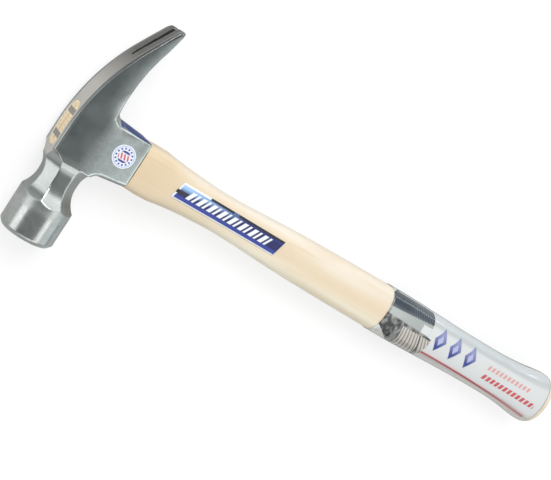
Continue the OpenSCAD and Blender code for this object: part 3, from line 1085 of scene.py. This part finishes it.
@dataclass(frozen=True)
class SleeveFilm:
    """Glossy silver film with a patterned band, plain printed shapes and a stripe."""

    silver: Colour = tone(224, 227, 227)
    # Painted reflection of the grey surroundings: a blue-grey band on the upper side
    sky_reflection: Colour = tone(220, 226, 229)
    # Painted shade: the lower side is greyer and warmer
    lower_shade: Colour = tone(222, 220, 214)
    # Painted shade: a grey band along the far edge where the film turns away
    rim: Colour = tone(160, 164, 164)
    glint: Colour = tone(232, 238, 240)
    band: SleeveBand = SleeveBand()
    stripe: SleeveStripe = SleeveStripe()
    gems: SleeveGems = SleeveGems()
    dashes: Tuple[DashRow, ...] = (
        DashRow(tone(226, 138, 134), 0.75, 4.012, 0.012, 1.7, (321, 366, 0.4), 4.1, (0.14, 0.72, 0.08)),
        DashRow(tone(206, 66, 72), 0.95, -3.1, -0.012, 1.9, (321, 377, 0.4), 4.6, (0.12, 0.78, 0.07)),
    )
    # Areas along the handle (x), across it (y) and out of the middle (z)
    upper_z: Edge = (0, 1)
    far_y: Edge = (0, 2)
    sky_reflection_z: Span = (4.4, 9.5, 3.0)
    lower_shade_y: Edge = (-11.5, 2.5)
    rim_z: Edge = (1.8, 1.2)
    glint_z: Span = (2.6, 4.2, 0.8)
    glint_x: Edge = (228, 3)

    def make(self) -> Material:
        """Builds the material.

        Returns:
            The material.
        """
        g = Graph("sleeve_film")
        x, y, z = g.design()
        wobble = g.noise((150, 150, 150), detail=2)
        upper = z.above(*self.upper_z)
        far = y.above(*self.far_y)
        rows = (row.layer(x, y) for row in self.dashes)
        prints = (*self.stripe.layers(x, y), *rows, *self.gems.layers(g, x, y))
        colour = g.layers(
            self.silver,
            # Painted reflection on the upper side
            (far * z.within(*self.sky_reflection_z), self.sky_reflection),
            # Painted shade on the lower side
            (y.below(*self.lower_shade_y), self.lower_shade),
            # Painted shade along the far edge
            (far * z.below(*self.rim_z), self.rim),
            *((mask * upper, ink) for mask, ink in prints),
            *self.band.layers(g, x, y, z, wobble, self.silver),
            (far * z.within(*self.glint_z) * x.above(*self.glint_x), self.glint),
        )
        return g.finish(
            Base_Color=colour,
            Metallic=0.3,
            Roughness=0.2 + wobble * 0.05,
            Coat_Weight=0.8,
            Coat_Roughness=0.05,
        )


@dataclass(frozen=True)
class LabelFilm:
    """Glossy film printed with a blue panel, pale leaning bars and a white border."""

    form: LabelForm = LabelForm()
    white: Colour = tone(240, 243, 250)
    blue: Colour = tone(42, 58, 150)
    navy: Colour = tone(22, 26, 92)
    sky: Colour = tone(160, 200, 246)
    ink: Colour = tone(30, 32, 48)
    # The panel along the label (u) and up from its middle (v), inside the white borders
    borders: Pair = (1.3, 0.3)
    panel_v: float = -4.5
    soft: float = 0.3
    # Start and length of the sky's fade along the label, and of its rise
    sky_u: Pair = (6.0, 42.0)
    sky_v: Pair = (0.2, 2.6)
    # The printed areas over it
    line_v: Span = (2.9, 3.9, 0.3)
    lower_v: Edge = (-2.3, 0.3)
    block_u: Span = (-1, 8.6, 0.4)
    block_v: Span = (-1.5, 0.7, 0.3)
    strip_v: Edge = (4.0, 0.3)
    strip_u: Span = (20, 37, 0.5)
    last_strip_u: Edge = (41, 0.5)
    gap_u: Edge = (20, 0.5)
    gap_v: Edge = (4.2, 0.4)
    # The leaning bars: their length, and two of them as shares of each step
    bars_u: Span = (7.6, 68, 0.3)
    bars_v: Span = (-2.3, 3.0, 0.3)
    bar_step: float = 7.6
    bar_lean: float = 0.3
    bar_pair: Tuple[Span, Span] = ((0.05, 0.42, 0.05), (0.6, 0.8, 0.05))

    def make(self) -> Material:
        """Builds the material.

        Returns:
            The material.
        """
        g = Graph("label_film")
        x, y, _ = g.design()
        v = y - self.form.rise
        u = x - v * (self.form.lean / self.form.width) - (self.form.middle - self.form.length / 2)
        first, last = self.borders
        panel = u.within(first, self.form.length - last, self.soft) * v.above(self.panel_v, self.soft)
        sky = ((v - self.sky_v[0]) / self.sky_v[1]).clamp()
        sky = sky * (1 - (u - self.sky_u[0]) / self.sky_u[1]).clamp()
        strip = v.above(*self.strip_v) * (u.within(*self.strip_u) + u.above(*self.last_strip_u))
        beat = ((u - v * self.bar_lean) / self.bar_step).fraction()
        pair = beat.within(*self.bar_pair[0]) + beat.within(*self.bar_pair[1])
        colour = g.layers(
            self.white,
            (panel, self.navy),
            (panel * v.within(*self.line_v) * 0.5, self.blue),
            (panel * sky, self.sky),
            (panel * v.below(*self.lower_v), self.blue),
            (v.within(*self.block_v) * u.within(*self.block_u), self.ink),
            (v.above(*self.gap_v) * u.below(*self.gap_u), self.white),
            (panel * strip, self.ink),
            (pair * v.within(*self.bars_v) * u.within(*self.bars_u), self.white),
        )
        return g.finish(Base_Color=colour, Roughness=0.34, Coat_Weight=0.3, Coat_Roughness=0.12)


@dataclass(frozen=True)
class StickerFilm:
    """Glossy round film: white, with a ring of blue dots round red bars and two blue blocks."""

    white: Colour = tone(236, 240, 250)
    ring: Colour = tone(150, 175, 225)
    navy: Colour = tone(52, 74, 150)
    red: Colour = tone(214, 92, 92)
    middle: Pair = (19.2, 1.3)
    line_r: Span = (5.6, 5.95, 0.25)
    dots: int = 14
    dots_r: Span = (4.1, 5.1, 0.3)
    inner_r: Edge = (3.5, 0.3)
    # The red bars: radians per millimetre, lean and height, and the height of the blocks
    bar_rate: float = 3.1
    bar_lean: float = 0.4
    bars_v: Edge = (1.6, 0.3)
    blocks_v: Span = (2.1, 3.3, 0.3)

    def make(self) -> Material:
        """Builds the material.

        Returns:
            The material.
        """
        g = Graph("sticker_film")
        x, y, _ = g.design()
        u, v = x - self.middle[0], y - self.middle[1]
        away = (u * u + v * v).root()
        turn = g.math("ARCTAN2", v, u)
        dots = (turn * self.dots).sine().above(0.1, 0.6) * away.within(*self.dots_r)
        inner = away.below(*self.inner_r)
        bars = ((u + v * self.bar_lean) * self.bar_rate).sine().above(0.0, 0.5)
        colour = g.layers(
            self.white,
            (away.within(*self.line_r), self.ring),
            (dots, self.navy),
            (inner * bars * abs(v).below(*self.bars_v), self.red),
            (inner * abs(v).within(*self.blocks_v), self.navy),
        )
        return g.finish(Base_Color=colour, Roughness=0.3, Coat_Weight=0.5, Coat_Roughness=0.1)


class Finish(Enum):
    """The finishes of the hammer, by the record's slot."""

    POLISHED_STEEL = GroundSteel()
    HARDWOOD = PaleWood()
    WEDGE_WOOD = WedgeWood()
    WEDGE_STEEL = WedgeSteel()
    SLEEVE_FILM = SleeveFilm()
    LABEL_FILM = LabelFilm()
    STICKER_FILM = StickerFilm()

    @property
    def slot(self) -> str:
        """Name of the record's slot."""
        return self.name.lower()


# Sub-assemblies


@dataclass
class Head:
    """The head, a forging with its poll, neck, adze eye and claw, in design millimetres."""

    # The skin over the CAD's faces: hard edges in degrees, spacing and smoothing
    sharp: float = 22.0
    skin: float = 0.52
    smooth_share: float = 0.5
    smooth_rounds: int = 2
    # The cheek's level and taper, and how deep below it and how far down the neck it is reworked
    cheek_z: float = 12.3
    taper_start: float = 1.5
    taper_slope: float = 0.0496
    taper_blend: float = 7.5
    reach: float = 3.0
    reach_soft: float = 2.5
    neck_y: float = -18.0
    # The roll along the claw's underside and round the fillet at its root
    arc_middle: Pair = (105.4, 34.0)
    arc_r: float = 100.0
    fillet_middle: Pair = (11.3, 21.7)
    fillet_r: float = 5.2
    turn_length: float = 7.0
    roll_root: float = 12.0
    roll_tip: float = 3.5
    roll_length: float = 50.0
    roll_slope: float = 0.052
    roll_y: float = 7.0
    roll_fade: float = 11.0
    # The area that is ground flat, and how deep a mark it takes out
    flat_gap: float = 0.22
    flat_gap_soft: float = 0.12
    flat_soft: float = 1.5
    flat_low: float = -14.3
    flat_low_slope: float = GroundSteel.adze_slope
    flat_high: float = 13.3
    flat_claw: float = 16.5
    flat_step_x: float = 5.0
    flat_step: float = 2.0
    flat_end_x: float = 29.0

    def roll(self, x: float, y: float) -> float:
        """How far the cheek rolls off towards the underside of the claw at a place.

        Args:
            x: Place along the handle.
            y: Place along the head.

        Returns:
            The depth.
        """
        root_x, root_y = self.fillet_middle
        away = math.hypot(x - self.arc_middle[0], y - self.arc_middle[1]) - self.arc_r
        corner = math.hypot(x - root_x, y - root_y) - self.fillet_r
        near = max(corner + (away - corner) * ease((y - root_y) / self.turn_length), 0.0)
        share = unit((y - root_y) / self.roll_length)
        width = self.roll_root + (self.roll_tip - self.roll_root) * share
        if near >= width:
            return 0.0
        fade = ease((y - self.roll_y) / self.roll_fade) * (1 - ease((x - root_x) / self.roll_fade))
        return fade * self.roll_slope * width * (1 - near / width) ** 2

    def crease(self, x: float) -> float:
        """How far the cheek is rounded where its taper starts."""
        off = self.taper_blend - abs(x - self.taper_start)
        return self.taper_slope * max(off, 0.0) ** 2 / (4 * self.taper_blend)

    def flat(self, x: float, y: float, gap: float) -> float:
        """How far a place is pulled to the cheek's true level, to grind out shallow cutter marks.

        Args:
            x: Place along the handle.
            y: Place along the head.
            gap: How far the place lies below the level.

        Returns:
            The share, from 0 to 1.
        """
        step = ease((x - self.flat_step_x) / self.flat_step)
        high = self.flat_claw + (self.flat_high - self.flat_claw) * step
        low = self.flat_low + self.flat_low_slope * x
        inside = ease((high - y) / self.flat_soft) * ease((y - low) / self.flat_soft)
        shallow = 1 - ease((abs(gap) - self.flat_gap) / self.flat_gap_soft)
        return inside * ease(self.flat_end_x - x) * shallow

    def forge(self, mesh: bpy.types.Mesh) -> None:
        """Rolls the cheeks off to the claw's underside, rounds their crease and grinds out marks.

        Args:
            mesh: The head's mesh.
        """
        for vert in mesh.vertices:
            x, y, z = (Vector(vert.co) / MM) - SHIFT
            level = self.cheek_z - max(0.0, x - self.taper_start) * self.taper_slope
            gap = level - abs(z)
            share = unit((self.reach - gap) / self.reach_soft)
            if share > 0 and y > self.neck_y:
                drop = (self.roll(x, y) + self.crease(x)) * share - gap * self.flat(x, y, gap)
                vert.co.z -= math.copysign(1, z) * drop * MM

    def build(self, nodes: Dict[str, Object]) -> Object:
        """Makes the head: an even skin over the CAD's faces, with softly broken edges.

        Args:
            nodes: The CAD nodes by name.

        Returns:
            The head.
        """
        node = nodes["hammer_head"]
        steel = Finish.POLISHED_STEEL
        blank = new_piece("head_blank", merged_copy(node, self.sharp), steel.value.make())
        skin = blank.modifiers.new("even_skin", "REMESH")
        skin.mode = "VOXEL"
        skin.voxel_size = self.skin * MM
        skin.use_smooth_shade = True
        faces = blank.modifiers.new("true_faces", "SHRINKWRAP")
        faces.target = node
        edges = blank.modifiers.new("broken_edges", "SMOOTH")
        edges.factor = self.smooth_share
        edges.iterations = self.smooth_rounds
        graph = bpy.context.evaluated_depsgraph_get()
        mesh = bpy.data.meshes.new_from_object(blank.evaluated_get(graph))
        bpy.data.objects.remove(blank)
        self.forge(mesh)
        head = new_object("head", mesh)
        dress(head, steel.slot, "hammer_head")
        return head


@dataclass
class Haft:
    """The wooden handle with its tenon and the wedges in it."""

    sharp: float = 30.0

    def build(self, nodes: Dict[str, Object]) -> List[Object]:
        """Makes the handle and dresses the wedges.

        Args:
            nodes: The CAD nodes by name.

        Returns:
            The handle and the three wedges.
        """
        wood = new_piece("haft", merged_copy(nodes["handle"], self.sharp), Finish.HARDWOOD.value.make())
        dress(wood, Finish.HARDWOOD.slot, "handle")
        refinish(nodes["wood_wedge"], Finish.WEDGE_WOOD.value.make())
        steel = Finish.WEDGE_STEEL.value.make()
        wedges = [nodes["steel_wedge_poll_side"], nodes["steel_wedge_claw_side"]]
        for wedge in wedges:
            refinish(wedge, steel)
        return [wood, nodes["wood_wedge"], *wedges]


@dataclass
class Films:
    """The grip's sleeve, the long label and the round sticker."""

    form: HandleForm
    label_form: LabelForm = LabelForm()
    glue: float = 0.06
    sleeve_start: float = 222.5
    sleeve_end: float = 384.025
    sleeve_t: float = 0.4
    label_t: float = 0.2
    sleeve_grid: Tuple[int, int] = (110, 96)
    label_grid: Tuple[int, int] = (60, 12)

    def sleeve(self) -> Object:
        """Makes the sleeve: a grid wrapped round the grip and given its thickness.

        Returns:
            The sleeve.
        """
        rings, columns = self.sleeve_grid
        bm = bmesh.new()
        bmesh.ops.create_grid(bm, x_segments=rings, y_segments=columns, size=1.0)
        sections: Dict[int, Section] = {}
        for vert in bm.verts:
            key = round((vert.co.x + 1) / 2 * rings)
            x = self.sleeve_start + (self.sleeve_end - self.sleeve_start) * key / rings
            if key not in sections:
                sections[key] = self.form.section(x)
            vert.co = self.form.on_ring(sections[key], x, vert.co.y / 2, self.glue + self.sleeve_t)
        return self.close(bm, "sleeve", self.sleeve_t, Finish.SLEEVE_FILM, "grip_sleeve")

    def label(self) -> Object:
        """Makes the long label: a leaning grid laid over the handle.

        Returns:
            The label.
        """
        shape = self.label_form
        rows, columns = self.label_grid
        bm = bmesh.new()
        bmesh.ops.create_grid(bm, x_segments=rows, y_segments=columns, size=1.0)
        for vert in bm.verts:
            along, across = vert.co.x / 2, vert.co.y / 2
            x = shape.middle + along * shape.length + across * shape.lean
            y = shape.rise + across * shape.width
            vert.co = self.form.over(x, y, self.glue + self.label_t)
        return self.close(bm, "long_label", self.label_t, Finish.LABEL_FILM, "handle_label")

    @staticmethod
    def close(
        bm: bmesh.types.BMesh, name: str, thickness: float, finish: Finish, node: str
    ) -> Object:
        """Makes a film of its outer face: joins its seam, gives it its wall and dresses it.

        Args:
            bm: The outer face.
            name: Name of the film.
            thickness: How far its wall goes inwards.
            finish: Its finish.
            node: CAD node that it stands for.

        Returns:
            The film.
        """
        bmesh.ops.remove_doubles(bm, verts=bm.verts, dist=WELD)
        bmesh.ops.recalc_face_normals(bm, faces=bm.faces)
        film = new_piece(name, bm, finish.value.make())
        wall = film.modifiers.new("wall", "SOLIDIFY")
        wall.thickness = thickness * MM
        wall.offset = -1
        dress(film, finish.slot, node)
        return film

    def build(self, nodes: Dict[str, Object]) -> List[Object]:
        """Makes all three films.

        Args:
            nodes: The CAD nodes by name.

        Returns:
            The sleeve, the label and the sticker.
        """
        refinish(nodes["cheek_sticker"], Finish.STICKER_FILM.value.make())
        return [self.sleeve(), self.label(), nodes["cheek_sticker"]]


# Studio


@dataclass(frozen=True)
class Lamp:
    """A soft box: where it is, where it points, its size and its power."""

    name: str
    position: Point
    target: Point
    width: float
    height: float
    power: float

    def build(self) -> None:
        """Adds the lamp to the scene."""
        data = bpy.data.lights.new(self.name, "AREA")
        data.shape = "RECTANGLE"
        data.size = self.width
        data.size_y = self.height
        data.energy = self.power
        away = Vector(self.position) - Vector(self.target)
        turn = away.to_track_quat("Z", "Y").to_matrix().to_4x4()
        new_object(self.name, data).matrix_world = Matrix.Translation(self.position) @ turn


@dataclass(frozen=True)
class FloorTone:
    """Grey of the floor and of its own glow."""

    base: float
    glow: float


@dataclass
class Studio:
    """White floor, soft boxes, even surroundings and the camera."""

    surround: Colour = (0.19, 0.205, 0.205)
    # The floor: half its width in metres, and its tones for the light, for mirrors and for the camera
    floor_half: float = 3.0
    bare: FloorTone = FloorTone(0.74, 0.0)
    mirrored: FloorTone = FloorTone(0.46, 0.04)
    seen: FloorTone = FloorTone(0.3, 0.72)
    # Past this distance, in millimetres, the camera sees plain white
    far: FloorTone = FloorTone(0.0, 1.0)
    far_off: Edge = (675, 450)
    lamps: Tuple[Lamp, ...] = (
        Lamp("left_box", (-1.1, -0.1, 0.32), (-0.19, 0.0, 0.02), 1.4, 0.5, 2.6),
        Lamp("far_strip", (0.2, 1.3, 0.26), (0.1, 0.0, 0.0), 2.0, 0.14, 2.4),
        Lamp("far_box", (0.2, 0.95, 0.8), (-0.19, -0.05, 0.03), 0.7, 0.8, 1.6),
        Lamp("neck_box", (0.15, -0.8, 0.95), (-0.19, -0.05, 0.03), 0.8, 0.5, 0.6),
        Lamp("brow_box", (0.5, -0.12, 0.93), (-0.19, -0.02, 0.03), 1.3, 0.36, 1.5),
        Lamp("right_box", (0.97, -0.1, 0.67), (-0.19, 0.0, 0.02), 1.6, 1.14, 3.2),
        Lamp("near_box", (0.1, -1.2, 0.6), (0.1, 0.0, 0.0), 1.8, 0.9, 4.6),
        Lamp("top_box", (-0.45, 0.9, 1.15), (0.0, 0.0, 0.0), 1.0, 1.0, 16.5),
    )
    # The camera: its place and its three axes in the frame, with lens and sensor in millimetres
    eye: Point = (-0.3528, 0.05813, 0.52431)
    right: Point = (0.74327, 0.55765, 0.36956)
    up: Point = (-0.44171, 0.82396, -0.35494)
    back: Point = (-0.50243, 0.10058, 0.85875)
    lens: float = 64.588
    sensor: float = 36.0
    nearest: float = 0.01

    def floor(self) -> None:
        """Lays the floor: a pale sheet that looks white and keeps the hammer's shadow."""
        g = Graph("white_floor")
        east, north, _ = g.design()
        away = (east * east + north * north).root().above(*self.far_off)
        rays = g.node("LightPath").outputs
        direct, glossy, through = (
            Value(g, rays[name]) for name in ("Is Camera Ray", "Is Glossy Ray", "Is Transmission Ray")
        )
        mirror = (glossy + through).clamp()
        looks = ((mirror, self.mirrored), (direct, self.seen), (direct * away, self.far))
        base = g.layers(grey(self.bare.base), *((mask, grey(look.base)) for mask, look in looks))
        glow = g.layers(grey(self.bare.glow), *((mask, grey(look.glow)) for mask, look in looks))
        white = g.finish(Base_Color=base, Roughness=0.9, Emission_Color=glow, Emission_Strength=1.0)
        bm = bmesh.new()
        bmesh.ops.create_grid(bm, x_segments=1, y_segments=1, size=self.floor_half)
        floor = new_piece("floor", bm, white)

    def camera(self) -> None:
        """Sets the camera where the photograph was taken from."""
        data = bpy.data.cameras.new("camera")
        data.sensor_width = self.sensor
        data.lens = self.lens
        data.clip_start = self.nearest
        camera = new_object("camera", data)
        turn = Matrix((self.right, self.up, self.back)).transposed().to_4x4()
        camera.matrix_world = Matrix.Translation(self.eye) @ turn
        bpy.context.scene.camera = camera

    def build(self) -> None:
        """Sets up the whole studio."""
        scene = bpy.context.scene
        scene.view_settings.view_transform = "Standard"
        g = Graph("surround", world=True)
        seen = g.node("LightPath").outputs["Is Camera Ray"]
        colour = g.mix(seen, self.surround, grey(1.0))
        backdrop = g.node("Background", {}, {"Color": colour, "Strength": 1.0})
        g.tree.links.new(backdrop.outputs[0], g.output.inputs[0])
        scene.world = g.owner
        self.floor()
        for lamp in self.lamps:
            lamp.build()
        self.camera()


def main() -> None:
    """Builds the hammer round its frame."""
    logging.basicConfig(level=logging.INFO, format="%(message)s")
    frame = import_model()
    nodes = frame["nodes"]
    pieces = [Head().build(nodes), *Haft().build(nodes), *Films(HandleForm()).build(nodes)]
    for piece in pieces:
        LOG.info("%s: %d faces", piece.name, len(piece.data.polygons))
    Studio().build()


if __name__ == "__main__":
    main()
